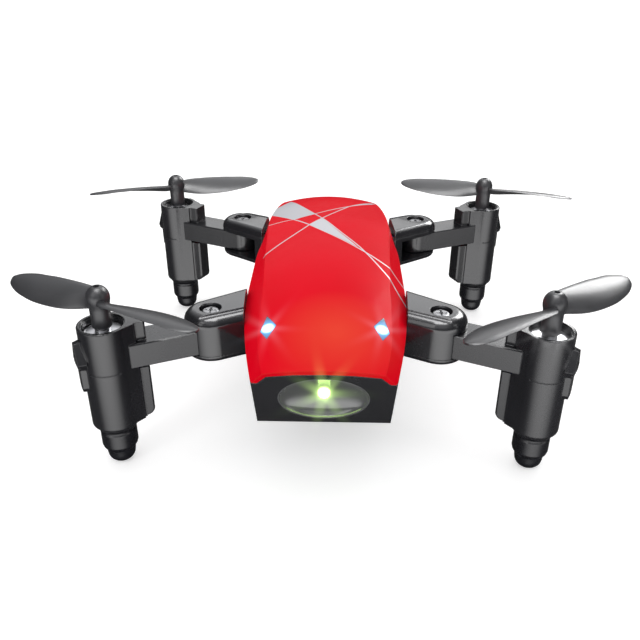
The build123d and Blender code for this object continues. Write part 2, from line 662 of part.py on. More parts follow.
def make_arm():
    half = BAR_W / 2
    arm = cyl(0, 0, half, BAR_LOW, BAR_TOP)
    arm = one(arm + box(0, ARM - 3.6, -half, half, BAR_LOW, BAR_TOP))
    arm = chamfer(pick(arm, lambda bounds: flat_at(bounds, BAR_TOP)
                       and bounds.size.X > 2.0), 0.22)
    arm += cyl(ARM, 0, POD_R, POD_LOW, POD_TOP)
    arm += make_rib()
    arm += prism(GUSSET, RIB_LOW, RIB_TOP)
    # an upright groove at each side where gusset and rib meet
    for side in SIDES:
        arm -= cyl(ARM - 5.2, side * 2.25, 0.33, 5, 40)
    arm = one(arm)
    # the pod's rounded lower shoulder and upper lip
    shoulder = turned(make_face(Polyline(*SHOULDER, close=True)))
    arm -= AT_POD * shoulder & box(-20, 60, -20, 20, 0, RIB_LOW)
    lip = turned(make_face(Polyline(*LIP, close=True)))
    arm -= (AT_POD * lip) & box(ARM - 0.5, ARM + 9, -9, 9, 20, 40)
    # the pod's bore, widened at the mouth
    arm -= cyl(ARM, 0, POD_BORE_R, 0, 40)
    arm -= cyl(ARM, 0, POD_BORE_R + 0.25, POD_TOP - 0.35, 40) - cyl(ARM, 0, 1, 0, 50)
    # a fine groove round the pod at the mould's parting height
    ring = cyl(ARM, 0, POD_R + 2, 21.2, 21.4) - cyl(ARM, 0, POD_R - 0.1, 20, 23)
    arm -= ring & box(ARM - 1.5, ARM + 9, -9, 9, 20, 23)
    # channel for the wires, open below, and the duct up from the motor bay
    arm -= box(4.4, ARM - 4.0, -half + 0.95, half - 0.95, BAR_LOW - 1, CHANNEL_TOP)
    arm -= box(ARM - 6.05, ARM - 4.2, -1.1, 1.1, 10.0, CHANNEL_TOP)
    arm -= box(ARM - 5.0, ARM - 2.0, -1.05, 1.05, 10.0, 11.5)
    arm -= cyl(0, 0, EYE_BORE_R, BAR_LOW - 1, BAR_TOP + 1)
    arm -= box(2.4, 4.6, -1.1, 1.1, 23.0, 24.9)      # lead exit by the eye
    arm += make_grip()
    return one(arm)


def make_arm_lid():
    half = BAR_W / 2 - 1.0
    return box(4.5, ARM - 7.0, -half, half, BAR_LOW + 0.05, BAR_LOW + 0.85)


def make_foot():
    """A round-ended foot that plugs the pod's lower end."""
    tip = Spline((0.8, FOOT_LOW), (1.65, FOOT_LOW + 0.24), (2.25, FOOT_LOW + 0.85),
                 (2.55, FOOT_LOW + 1.8), tangents=[(1, 0), (0.15, 1)])
    rest = Polyline(
        (2.55, FOOT_LOW + 1.8), (2.7, 3.7), (3.15, 4.3), (3.3, 4.8), (3.3, 7.6), (3.12, 7.85),
        (3.12, 8.15), (3.4, 8.35), (3.85, POD_LOW - FIT), (3.5, POD_LOW - FIT), (3.5, 9.9),
        (2.5, 9.9), (2.5, 8.6), (0, 8.6), (0, FOOT_LOW), (0.8, FOOT_LOW))
    return one(AT_POD * turned(make_face([tip, rest])))


def make_motor():
    motor = cyl(ARM, 0, MOTOR_R, MOTOR_LOW, MOTOR_TOP)
    motor = fillet(motor.edges().sort_by(Axis.Z)[-1:], 0.45)
    motor += cyl(ARM, 0, 1.35, MOTOR_TOP - 0.1, MOTOR_TOP + 0.5)
    motor -= cyl(ARM, 0, SHAFT_R + 0.05, 20.5, 40)
    # gap between can and core
    motor -= cyl(ARM, 0, 3.1, MOTOR_LOW - 0.1, MOTOR_TOP - 0.9) - cyl(ARM, 0, 2.0, 0, 40)
    for k in range(2):                               # two notches in the top
        notch = box(2.0, 2.9, -0.45, 0.45, MOTOR_TOP - 0.35, MOTOR_TOP + 1)
        motor -= AT_POD * Rot(0, 0, 55 + 180 * k) * notch
    return one(motor)


def make_brush_cap():
    cap = cyl(ARM, 0, 3.2, 10.95, MOTOR_LOW - 0.02)
    return one(cap - box(ARM - 3.4, ARM - 2.3, -1.1, 1.1, 10, 12))


def motor_wire(y):
    """A wire from below the motor, up the duct and along the bar."""
    low, high, duct_x = 10.5, 24.0, ARM - 5.1
    points = [(ARM - 0.6, y, low), (duct_x, y, low), (duct_x, y, high), (3.0, y, high)]
    return tube_along(points, radius=0.36, bend=0.42)


def make_shaft():
    shaft = cyl(0, 0, SHAFT_R, 20.8, 35.7)
    return chamfer(shaft.edges().sort_by(Axis.Z)[-1:], 0.12)


# ---------------------------------------------------------------- propeller
# radius, chord, pitch in degrees, thickness, shift towards the leading edge, rise
BLADE = [
    (0.9, 3.0, 31, 1.4, 0.0, 0.0), (2.4, 4.5, 29, 1.05, 0.55, 0.0),
    (4.6, 5.8, 25, 0.82, 0.15, 0.0), (7.4, 6.6, 21.5, 0.70, -0.3, 0.02),
    (10.4, 6.9, 18.5, 0.64, -0.5, 0.04), (13.4, 6.7, 16, 0.58, -0.5, 0.06),
    (16.4, 5.9, 14, 0.54, -0.3, 0.08), (18.5, 4.7, 13, 0.5, -0.1, 0.09),
    (19.9, 3.3, 12.5, 0.46, 0.0, 0.1), (20.6, 2.0, 12, 0.42, 0.05, 0.1),
    (PROP_R, 0.9, 12, 0.38, 0.05, 0.1)]


def blade_section(radius, chord, pitch, thickness, shift, rise):
    """A thin cambered section; the leading edge faces +Y for a blade along +X."""
    steps = 8
    angle = math.radians(pitch)
    # (place along the chord from the leading edge, share of the half thickness)
    upper = [(k / steps, 1) for k in range(steps + 1)]
    lower = [(1 - k / steps, -0.8) for k in range(1, steps)]
    points = []
    for t, share in upper + lower:
        bulge = 1 - (2 * t - 1) ** 2
        half = thickness / 2 * math.sqrt(max(bulge, 0)) * (1.15 - 0.3 * t)
        y = (0.5 - t) * chord
        z = 0.055 * chord * bulge + share * half
        points.append(Vector(radius, y * math.cos(angle) - z * math.sin(angle) + shift,
                             y * math.sin(angle) + z * math.cos(angle) + rise))
    return Wire([Edge.make_spline(points, periodic=True)])


def make_propeller():
    """A two-blade propeller that turns counter-clockwise seen from above."""
    blade = Part() + Solid.make_loft([blade_section(*row) for row in reversed(BLADE)])
    line = Polyline((0, HUB_HEIGHT), (0, 0), (1.5, 0), (1.72, 0.3), (1.74, 3.6))
    dome = Spline((1.74, 3.6), (1.98, 5.1), (1.86, 6.5), (1.15, 7.45), (0, HUB_HEIGHT),
                  tangents=[(0.03, 1), (-1, 0)])
    hub = Pos(0, 0, HUB_LOW) * turned(make_face([line, dome]))
    at_blades = Pos(0, 0, PROP_Z)
    prop = hub + at_blades * blade + at_blades * Rot(0, 0, 180) * blade
    return prop - cyl(0, 0, SHAFT_R + 0.02, 20, 40)


# ---------------------------------------------------------------- write everything out
def ship(name, *shapes):
    lower = Pos(0, 0, -UNDERSIDE)
    solids = [lower * solid for shape in shapes for solid in shape.solids()]
    result = solids[0] if len(solids) == 1 else Compound(solids)
    export_step(result, f"parts/{name}.step")


ship("top_cover", make_cover())
ship("lower_chassis", make_tray())
ship("ear_frame", make_ear_frame())
ship("nose_panel", make_nose())
ship("headlight_reflector", make_reflector())
ship("headlight_led", make_headlight())
ship("tail_panel", make_tail())
ship("side_light_window_left", light_window(-1))
ship("side_light_window_right", light_window(1))
ship("side_leds", *[on_board(side * 10.2, -31.05, 1.1, 0.9, 0.9) for side in SIDES])
ship("flight_board", make_board())
ship("flight_board_chips", *[chip(*row) for row in FLIGHT_CHIPS])
ship("motor_driver_chips",
     *[chip(side * 6.3, y, 1.7, 2.8, 0.9) for side in SIDES for y in (-17.5, 17.5)])
ship("crystal_and_choke", *[rounded_block(*row) for row in CRYSTAL_AND_CHOKE])
ship("board_passives", *[on_board(x, y, 0.55, 0.3, 0.6) for x, y in PASSIVES])
ship("battery", make_battery())
ship("battery_protection_board",
     box(-8.5, 8.5, BATTERY_REAR + 0.02, BATTERY_REAR + 0.55, 15.2, 19.8))
ship("battery_foam_pad", box(-8, 8, -14, 8, UNDERSIDE + FLOOR + 0.02, BATTERY_LOW - 0.03))
ship("battery_leads", *[battery_lead(x) for x in (-3.0, -1.6)])
ship("charge_port", make_port())
ship("power_switch_base", make_switch_base())
ship("power_switch_knob", make_knob())
ship("antenna_wire", make_antenna())
ship("motor_leads_in_body", *body_leads())
ship("pivot_screws", *four(pivot_screw))
ship("cover_screws", *four(cover_screw))

# front right shapes of everything that hangs on an arm
ARM_PARTS = {
    "arm": [make_arm()],
    "arm_lid": [make_arm_lid()],
    "foot": [make_foot()],
    "motor": [make_motor()],
    "motor_brush_cap": [make_brush_cap()],
    "motor_wires": [motor_wire(side * 0.5) for side in SIDES],
}
PROP_CCW = make_propeller()
PROP_CW = mirror(PROP_CCW, about=Plane.XZ)
SHAFT = make_shaft()

for corner, left, rear in (("fr", False, False), ("fl", True, False),
                           ("rr", False, True), ("rl", True, True)):
    for name, shapes in ARM_PARTS.items():
        ship(f"{name}_{corner}", *[mirrored(PLACE * shape, left, rear) for shape in shapes])
    at_motor = Pos((-1 if left else 1) * MOTOR_X, (1 if rear else -1) * MOTOR_Y, 0)
    propeller = PROP_CCW if corner in ("fr", "rl") else PROP_CW
    ship(f"propeller_{corner}", at_motor * Rot(0, 0, PROP_REST[corner]) * propeller)
    ship(f"motor_shaft_{corner}", at_motor * SHAFT)
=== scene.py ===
"""A small four-rotor drone standing on a pale floor.

Metres, +Z up. X runs across the body, the nose and its headlight face -Y towards
the camera, and the feet rest on the floor. The meshes come from the CAD pieces;
this script gives them materials, smooth shading, a studio and a camera.
"""
import functools
import json
import math
import bpy
import bmesh
from mathutils import Vector, Matrix

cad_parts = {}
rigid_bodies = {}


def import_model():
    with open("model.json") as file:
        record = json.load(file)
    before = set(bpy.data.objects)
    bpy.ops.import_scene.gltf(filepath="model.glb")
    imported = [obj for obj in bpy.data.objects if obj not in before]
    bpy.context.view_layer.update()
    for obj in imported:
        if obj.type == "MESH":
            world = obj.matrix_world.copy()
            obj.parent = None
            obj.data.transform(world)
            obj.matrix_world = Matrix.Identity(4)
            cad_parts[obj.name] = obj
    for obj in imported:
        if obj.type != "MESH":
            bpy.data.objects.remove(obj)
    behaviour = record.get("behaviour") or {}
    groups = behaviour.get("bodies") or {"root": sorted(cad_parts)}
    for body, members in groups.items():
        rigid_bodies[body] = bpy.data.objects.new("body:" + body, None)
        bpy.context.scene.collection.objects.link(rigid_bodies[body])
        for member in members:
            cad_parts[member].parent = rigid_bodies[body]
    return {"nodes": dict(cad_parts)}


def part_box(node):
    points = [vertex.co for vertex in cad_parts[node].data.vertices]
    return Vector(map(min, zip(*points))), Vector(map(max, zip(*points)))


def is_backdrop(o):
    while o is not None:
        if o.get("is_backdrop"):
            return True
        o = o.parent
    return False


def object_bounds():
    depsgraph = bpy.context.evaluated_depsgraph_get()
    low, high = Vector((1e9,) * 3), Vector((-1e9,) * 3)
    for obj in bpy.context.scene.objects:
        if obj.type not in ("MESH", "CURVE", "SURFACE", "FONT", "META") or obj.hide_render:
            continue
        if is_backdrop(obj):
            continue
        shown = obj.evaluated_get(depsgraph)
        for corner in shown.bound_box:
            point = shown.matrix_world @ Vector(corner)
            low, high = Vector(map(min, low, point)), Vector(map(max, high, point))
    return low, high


CORNERS = ("fl", "fr", "rl", "rr")
MM_PER_M = 1000
SMOOTH_ANGLE = math.radians(32)
FLOOR_GAP = 0.00002         # between the lowest foot and the floor
FLOOR_HALF_SIZE = 3.0


def plain(value):
    """Nested vectors as nested lists of floats."""
    if hasattr(value, "__len__"):
        return [plain(item) for item in value]
    return float(value)


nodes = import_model()["nodes"]
cad_bounds = plain(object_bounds())
scene = bpy.context.scene


# ------------------------------------------------------------------ node builders
class Graph:
    """Builds nodes in an emptied tree; inputs may be numbers, colours or sockets."""

    def __init__(self, tree):
        self.tree = tree
        tree.nodes.clear()

    def node(self, kind, **settings):
        node = self.tree.nodes.new(kind)
        for key, value in settings.items():
            setattr(node, key, value)
        return node

    def plug(self, socket, value):
        if isinstance(value, bpy.types.NodeSocket):
            self.tree.links.new(value, socket)
        elif socket.type == "RGBA":
            socket.default_value = (*value, 1)
        else:
            socket.default_value = value

    def math(self, operation, a, b=0.0, clamp=False):
        node = self.node("ShaderNodeMath", operation=operation, use_clamp=clamp)
        self.plug(node.inputs[0], a)
        self.plug(node.inputs[1], b)
        return node.outputs[0]

    def add(self, a, b):
        return self.math("ADD", a, b)

    def sub(self, a, b):
        return self.math("SUBTRACT", a, b)

    def mul(self, a, b, clamp=False):
        return self.math("MULTIPLY", a, b, clamp)

    def product(self, masks):
        return functools.reduce(self.mul, masks)

    def union(self, masks):
        return functools.reduce(lambda a, b: self.math("MAXIMUM", a, b), masks)

    def length(self, x, y):
        return self.math("SQRT", self.add(self.mul(x, x), self.mul(y, y)))

    def xyz(self, vector):
        node = self.node("ShaderNodeSeparateXYZ")
        self.plug(node.inputs[0], vector)
        return tuple(node.outputs)

    def ramp(self, value, source, target=(0.0, 1.0), interpolation="LINEAR"):
        """Maps value from the source range to the target range, clamped."""
        node = self.node("ShaderNodeMapRange", clamp=True, interpolation_type=interpolation)
        self.plug(node.inputs["Value"], value)
        for side, limits in (("From", source), ("To", target)):
            node.inputs[f"{side} Min"].default_value = limits[0]
            node.inputs[f"{side} Max"].default_value = limits[1]
        return node.outputs[0]

    def spread(self, noise, low=0.0, high=1.0):
        """Stretches the middle of a noise over low to high."""
        return self.ramp(noise, source=(0.3, 0.7), target=(low, high))

    def to_camera(self, vector):
        node = self.node("ShaderNodeVectorTransform", vector_type="VECTOR",
                         convert_from="WORLD", convert_to="CAMERA")
        self.plug(node.inputs[0], vector)
        return node.outputs[0]

    def mix_shader(self, factor, a, b):
        node = self.node("ShaderNodeMixShader")
        for socket, value in zip(node.inputs, (factor, a, b)):
            self.plug(socket, value)
        return node.outputs[0]


class Surface(Graph):
    """A Principled material on object coordinates."""

    def __init__(self, name):
        self.material = bpy.data.materials.new(name)
        self.material.use_nodes = True
        super().__init__(self.material.node_tree)
        self.output = self.node("ShaderNodeOutputMaterial")
        self.shader = self.node("ShaderNodeBsdfPrincipled")
        self.plug(self.output.inputs[0], self.shader.outputs[0])
        self.coord = self.node("ShaderNodeTexCoord").outputs["Object"]

    def set(self, **values):
        """Sets Principled inputs; underscores stand for spaces."""
        for key, value in values.items():
            self.plug(self.shader.inputs[key.replace("_", " ")], value)

    def stretch(self, scale):
        node = self.node("ShaderNodeMapping")
        self.plug(node.inputs["Vector"], self.coord)
        self.plug(node.inputs["Scale"], scale)
        return node.outputs[0]

    def noise(self, scale, detail, rough=0.55, vector=None, distort=0.0):
        node = self.node("ShaderNodeTexNoise")
        values = {"Vector": vector or self.coord, "Scale": scale, "Detail": detail,
                  "Roughness": rough, "Distortion": distort}
        for key, value in values.items():
            self.plug(node.inputs[key], value)
        return node.outputs[0]

    def voronoi(self, scale, feature="F1"):
        node = self.node("ShaderNodeTexVoronoi", feature=feature)
        self.plug(node.inputs["Vector"], self.coord)
        self.plug(node.inputs["Scale"], scale)
        return node.outputs["Distance"]

    def mix(self, factor, a, b):
        """Mixes two colours."""
        node = self.node("ShaderNodeMix", data_type="RGBA")
        for index, value in ((0, factor), (6, a), (7, b)):
            self.plug(node.inputs[index], value)
        return node.outputs[2]

    def mix_value(self, factor, a, b):
        node = self.node("ShaderNodeMix", data_type="FLOAT")
        for index, value in ((0, factor), (2, a), (3, b)):
            self.plug(node.inputs[index], value)
        return node.outputs[0]

    def rounded(self, radius):
        """Normal with the edges softened to a radius."""
        node = self.node("ShaderNodeBevel", samples=4)
        self.plug(node.inputs["Radius"], radius)
        return node.outputs[0]

    def bump(self, height, strength, distance, normal=None):
        node = self.node("ShaderNodeBump")
        self.plug(node.inputs["Strength"], strength)
        self.plug(node.inputs["Distance"], distance)
        self.plug(node.inputs["Height"], height)
        if normal is not None:
            self.plug(node.inputs["Normal"], normal)
        return node.outputs[0]

    def edge(self, radius):
        """1 on sharp edges, 0 on open faces."""
        geometry = self.node("ShaderNodeNewGeometry")
        dot = self.node("ShaderNodeVectorMath", operation="DOT_PRODUCT")
        self.plug(dot.inputs[0], self.rounded(radius))
        self.plug(dot.inputs[1], geometry.outputs["Normal"])
        return self.ramp(dot.outputs["Value"], source=(0.97, 0.80))

    # Plan masks: x and y are sockets in metres, points and widths are millimetres.
    def half_plane(self, x, y, start, end, soft):
        """1 on the left of the line from start to end."""
        dx, dy = end[0] - start[0], end[1] - start[1]
        run = math.hypot(dx, dy)
        a, b = -dy / run, dx / run
        offset = -(a * start[0] + b * start[1])
        across = self.add(self.mul(x, a * MM_PER_M), self.mul(y, b * MM_PER_M))
        return self.ramp(self.add(across, offset), source=(-soft, soft))

    def polygon(self, x, y, points, soft=0.05):
        """1 inside a convex polygon."""
        area = sum(p[0] * q[1] - q[0] * p[1] for p, q in zip(points, points[1:] + points[:1]))
        if area < 0:
            points = points[::-1]
        return self.product(self.half_plane(x, y, p, q, soft)
                            for p, q in zip(points, points[1:] + points[:1]))

    def segment(self, x, y, start, end, width):
        dx, dy = end[0] - start[0], end[1] - start[1]
        run = math.hypot(dx, dy)
        side_x, side_y = -dy / run * (width / 2), dx / run * (width / 2)
        corners = [(start[0] + side_x, start[1] + side_y), (end[0] + side_x, end[1] + side_y),
                   (end[0] - side_x, end[1] - side_y), (start[0] - side_x, start[1] - side_y)]
        return self.polygon(x, y, corners, soft=0.04)

    def line(self, x, y, points, width):
        return self.union(self.segment(x, y, p, q, width) for p, q in zip(points, points[1:]))


# ------------------------------------------------------------------ materials
# Silver artwork on the top cover, as (x, y) points in plan, millimetres.
# The band fills the space between two lines up to where they meet.
BAND_A = [(-9.6, 30.0), (-3.12, 17.3), (6.9, -1.35), (12.3, -12.9), (15.6, -20.5)]
BAND_B = [(-15.2, 22.5), (-3.9, 10.0), (5.9, -1.3), (12.6, -8.5), (16.0, -12.2)]
BAND_TIP = (6.4, -1.4)
# Two more lines cross it: the band is left out between them.
GAP_A = [(-13.6, 13.3), (-7.5, 14.7), (-3.4, 17.3), (4.9, 23.9), (10.5, 28.6)]
GAP_B = [(-13.3, -3.5), (-8.6, 3.6), (-4.2, 10.3), (-1.2, 14.5), (4.9, 23.9), (12.0, 31.5)]
LINE_WIDTHS = ((BAND_A, 0.30), (BAND_B, 0.34), (GAP_A, 0.30), (GAP_B, 0.30))


def cover_artwork(k, x, y, z):
    """Mask of the silver artwork, on the top of the cover only."""
    band = k.union([k.polygon(x, y, [BAND_A[1], BAND_TIP, BAND_B[1]]),
                    k.polygon(x, y, [BAND_A[0], BAND_A[1], BAND_B[1], BAND_B[0]])])
    inner_gap = k.union([k.polygon(x, y, [GAP_A[1], GAP_A[2], GAP_B[3], GAP_B[2]]),
                         k.polygon(x, y, [GAP_A[2], GAP_A[3], GAP_B[3]])])
    gap = k.union([k.polygon(x, y, [GAP_A[0], GAP_A[1], GAP_B[2], GAP_B[1]]), inner_gap])
    band = k.mul(band, k.sub(1.0, gap))
    tail = k.polygon(x, y, [GAP_A[3], GAP_A[4], GAP_B[5]])
    lines = k.union(k.line(x, y, points, width) for points, width in LINE_WIDTHS)
    top = k.ramp(z, source=(0.0128, 0.0138))
    return k.mul(k.union([band, tail, lines]), top, clamp=True)


def cover_paint():
    """Red lacquer with silver artwork and a painted orange highlight on the forward slope."""
    k = Surface("cover_red_paint")
    x, y, z = k.xyz(k.coord)
    mask = cover_artwork(k, x, y, z)
    flake = k.ramp(k.voronoi(scale=9000), source=(0.15, 0.6), target=(0.90, 1.0))
    silver = k.mix(flake, (0.40, 0.40, 0.42), (0.52, 0.52, 0.55))
    drift = k.ramp(k.noise(scale=60, detail=2), source=(0.35, 0.65))
    red = k.mix(drift, (0.74, 0.0005, 0.012), (0.71, 0.0004, 0.010))
    # painted highlight: an oval on the forward slope is painted a touch more orange, standing
    # in for a soft reflection of the light overhead
    highlight_x, highlight_y = 0.002, -0.0325
    highlight_radius_x, highlight_radius_y = 0.0100, 0.0095
    dx = k.mul(k.sub(x, highlight_x), 1 / highlight_radius_x)
    dy = k.mul(k.add(y, -highlight_y), 1 / highlight_radius_y)
    painted_highlight = k.ramp(k.length(dx, dy), source=(0.1, 1.25), target=(0.85, 0.0))
    # mixes the painted highlight's orange into the red
    red = k.mix(painted_highlight, red, (0.78, 0.055, 0.028))
    round_radius = 0.0003
    edge_tint = 0.30
    red = k.mix(k.mul(k.edge(round_radius), edge_tint), red, (0.95, 0.09, 0.05))
    silver_metallic = 0.25
    red_rough = k.spread(k.noise(scale=900, detail=3), low=0.34, high=0.42)
    k.set(Base_Color=k.mix(mask, red, silver), Metallic=k.mul(mask, silver_metallic),
          Roughness=k.mix_value(mask, a=red_rough, b=0.34),
          Specular_Tint=k.mix(mask, (0.8, 1.0, 0.75), (1.0, 1.0, 1.0)),
          Specular_IOR_Level=k.mix_value(mask, a=0.018, b=0.2),
          Coat_Weight=0.02,
          Coat_Roughness=k.spread(k.noise(scale=250, detail=2), low=0.08, high=0.14))
    peel = k.noise(scale=420, detail=2, rough=0.4)
    peel_height, artwork_height = 0.5, 0.6
    relief = k.add(k.mul(peel, peel_height), k.mul(mask, artwork_height))
    k.set(Normal=k.bump(relief, strength=0.10, distance=0.00006,
                        normal=k.rounded(round_radius)),
          Coat_Normal=k.bump(peel, strength=0.04, distance=0.00005,
                             normal=k.rounded(round_radius)))
    return k


def moulded(name, base, rough, grain=6000, depth=0.12, coat=0.0, radius=0.00022):
    """Injection-moulded plastic: fine grain, faint flow marks, lighter along sharp edges."""
    k = Surface(name)
    flow = k.noise(scale=90, detail=4, rough=0.5, vector=k.stretch((1, 1, 0.35)), distort=0.6)
    dark_gain = 0.82
    light_gain, light_lift = 2.2, 0.02
    edge_reach, edge_tint = 1.3, 0.5
    dark = tuple(c * dark_gain for c in base)
    light = tuple(min(1.0, c * light_gain + light_lift) for c in base)
    colour = k.mix(k.spread(flow), dark, base)
    colour = k.mix(k.mul(k.edge(radius * edge_reach), edge_tint), colour, light)
    fine = k.noise(scale=grain, detail=3, rough=0.6)
    roughness = k.add(k.spread(flow, low=rough - 0.04, high=rough + 0.05),
                      k.spread(fine, low=-0.02, high=0.03))
    k.set(Base_Color=colour, Roughness=roughness, Coat_Weight=coat, Coat_Roughness=0.06,
          Specular_IOR_Level=0.55,
          Normal=k.bump(fine, strength=depth, distance=0.00003, normal=k.rounded(radius)))
    return k


def metal(name, base, rough, turned_z=False):
    """Metal with fine tool lines, round Z when turned."""
    k = Surface(name)
    scale, stretch = (900, (0.02, 0.02, 6)) if turned_z else (1500, (1, 8, 1))
    lines = k.noise(scale=scale, detail=4, rough=0.6, vector=k.stretch(stretch))
    dark_gain = 0.75
    k.set(Base_Color=k.mix(k.spread(lines), tuple(c * dark_gain for c in base), base),
          Metallic=1.0, Roughness=k.spread(lines, low=rough - 0.06, high=rough + 0.10),
          Normal=k.bump(lines, strength=0.25, distance=0.00002, normal=k.rounded(0.00012)))
    return k


def wires(name, colours):
    """Silicone-sleeved wire: each strand takes one of the two colours or a mix."""
    k = Surface(name)
    strand = k.node("ShaderNodeNewGeometry").outputs["Random Per Island"]
    colour = k.mix(k.ramp(strand, source=(0.45, 0.55)), *colours)
    fine = k.noise(scale=3000, detail=2)
    k.set(Base_Color=k.mix(k.spread(fine, low=0, high=0.3), colour, (0.02, 0.02, 0.02)),
          Roughness=k.spread(fine, low=0.38, high=0.5),
          Normal=k.bump(fine, strength=0.3, distance=0.00002))
    return k


def circuit(name):
    """Green board with raised tracks and gold vias."""
    k = Surface(name)
    cells = k.voronoi(scale=520, feature="DISTANCE_TO_EDGE")
    tracks = k.ramp(cells, source=(0.05, 0.07), target=(1.0, 0.0))
    vias = k.ramp(k.voronoi(scale=900), source=(0.10, 0.13), target=(1.0, 0.0))
    track_tint, via_metallic = 0.55, 0.9
    colour = k.mix(k.spread(k.noise(scale=200, detail=2)),
                   (0.010, 0.085, 0.035), (0.014, 0.12, 0.05))
    colour = k.mix(k.mul(tracks, track_tint), colour, (0.03, 0.22, 0.09))
    colour = k.mix(vias, colour, (0.65, 0.45, 0.18))
    k.set(Base_Color=colour, Metallic=k.mul(vias, via_metallic),
          Roughness=k.mix_value(vias, a=0.30, b=0.25), Coat_Weight=0.3,
          Normal=k.bump(tracks, strength=0.3, distance=0.00003, normal=k.rounded(0.0001)))
    return k


def lamp_lens():
    """Lit bead: only the domed end glows, its stem stays smoky."""
    k = Surface("lamp_lens")
    cloud = k.noise(scale=1400, detail=2)
    _, y, z = k.xyz(k.coord)
    # distance along the lamp's axis, which points forward and a little down
    lamp_y, lamp_z = -0.0372, 0.0067
    axis_y, axis_z = -0.956, -0.294
    along = k.add(k.mul(k.sub(y, lamp_y), axis_y), k.mul(k.sub(z, lamp_z), axis_z))
    lit = k.ramp(along, source=(-0.0003, 0.0005), target=(0.03, 1.0))
    tint = (0.62, 1.0, 0.26)
    k.set(Base_Color=k.mix(k.spread(cloud, low=0, high=0.2), (0.30, 0.34, 0.28), tint),
          Roughness=0.12, Emission_Color=tint,
          Emission_Strength=k.mul(lit, k.spread(cloud, low=9.5, high=11.5)),
          Normal=k.bump(cloud, strength=0.1, distance=0.00002))
    return k


def side_lamp():
    """Evenly lit blue-white lamp."""
    k = Surface("side_lamp")
    cloud = k.noise(scale=1400, detail=2)
    tint = (0.35, 0.72, 1.0)
    strength = 4.0
    k.set(Base_Color=k.mix(k.spread(cloud, low=0, high=0.2), (0.9, 0.93, 0.95), tint),
          Roughness=0.12, Emission_Color=tint,
          Emission_Strength=k.spread(cloud, low=strength * 0.9, high=strength * 1.1),
          Normal=k.bump(cloud, strength=0.1, distance=0.00002))
    return k


def window_clear():
    """Clear window: a blue-white pool of light over the lamp, fading to dark away from it."""
    k = Surface("window_clear")
    cloud = k.noise(scale=1500, detail=2)
    x, y, _ = k.xyz(k.coord)
    lamp_x, lamp_y = 0.0100, -0.0306    # mirrored in X
    distance = k.length(k.sub(k.math("ABSOLUTE", x), lamp_x), k.sub(y, lamp_y))
    core = k.ramp(distance, source=(0.0003, 0.0014), target=(1.0, 0.0))
    body = k.ramp(distance, source=(0.0012, 0.0030), target=(1.0, 0.02))
    body_strength, core_strength = 0.75, 4.0
    k.set(Base_Color=k.mix(k.spread(cloud), (0.05, 0.10, 0.14), (0.07, 0.13, 0.18)),
          Roughness=k.spread(cloud, low=0.05, high=0.12), Coat_Weight=0.3,
          Emission_Color=k.mix(core, (0.02, 0.32, 0.85), (0.80, 0.93, 1.0)),
          Emission_Strength=k.add(k.mul(body, body_strength), k.mul(core, core_strength)),
          Normal=k.bump(cloud, strength=0.08, distance=0.00003))
    return k


def battery_wrap():
    """Crinkled foil."""
    k = Surface("battery_foil_wrap")
    crinkle = k.noise(scale=260, detail=4, rough=0.6, distort=1.2)
    fine = k.noise(scale=2500, detail=2)
    k.set(Base_Color=k.mix(k.spread(crinkle), (0.36, 0.38, 0.42), (0.52, 0.54, 0.58)),
          Metallic=0.85, Roughness=k.spread(fine, low=0.28, high=0.40),
          Normal=k.bump(crinkle, strength=0.5, distance=0.0001))
    return k


RED = cover_paint()
GLOSS = moulded("body_black_gloss", base=(0.015, 0.015, 0.018), rough=0.22, coat=0.30)
PANEL = moulded("panel_black_piano", base=(0.024, 0.024, 0.027), rough=0.22,
                grain=3000, depth=0.05, coat=0.3)
ARMS = moulded("arm_black_satin", base=(0.017, 0.017, 0.020), rough=0.24, coat=0.15)
FOOT = moulded("foot_black", base=(0.010, 0.010, 0.013), rough=0.24)
LID = moulded("lid_black", base=(0.020, 0.020, 0.022), rough=0.38)
PROP = moulded("propeller_grey_black", base=(0.036, 0.036, 0.040), rough=0.37,
               grain=5000, depth=0.08, coat=0.06, radius=0.0001)
KNOB = moulded("switch_knob_black", base=(0.030, 0.030, 0.030), rough=0.45)
CHIP = moulded("chip_epoxy", base=(0.018, 0.018, 0.019), rough=0.42, grain=5000, depth=0.4)
CERAMIC = moulded("ceramic_parts", base=(0.42, 0.33, 0.22), rough=0.40, grain=4000)
FOAM = moulded("foam_pad", base=(0.05, 0.05, 0.055), rough=0.85, grain=3500, depth=0.9)
BOWL = moulded("reflector_smoked", base=(0.10, 0.10, 0.105), rough=0.22,
               grain=3000, depth=0.05, coat=0.6)
SCREW = metal("screw_steel_dark", base=(0.34, 0.34, 0.35), rough=0.24)
PLATED = metal("plated_steel", base=(0.62, 0.62, 0.64), rough=0.25)
CAN = metal("motor_can_turned", base=(0.66, 0.66, 0.68), rough=0.24, turned_z=True)
SHAFT = metal("shaft_ground", base=(0.74, 0.74, 0.76), rough=0.18, turned_z=True)
CAP = moulded("motor_cap_nylon", base=(0.72, 0.72, 0.68), rough=0.45, grain=3000)
MOTOR_WIRE = wires("motor_wire_sleeve", ((0.50, 0.02, 0.02), (0.02, 0.03, 0.35)))
BATTERY_WIRE = wires("battery_wire_sleeve", ((0.50, 0.02, 0.02), (0.015, 0.015, 0.015)))
ANTENNA = wires("antenna_sleeve", ((0.03, 0.03, 0.03), (0.05, 0.05, 0.05)))
BOARD = circuit("circuit_board")
LAMP = lamp_lens()
SIDE_LAMP = side_lamp()
WINDOW = window_clear()
WRAP = battery_wrap()

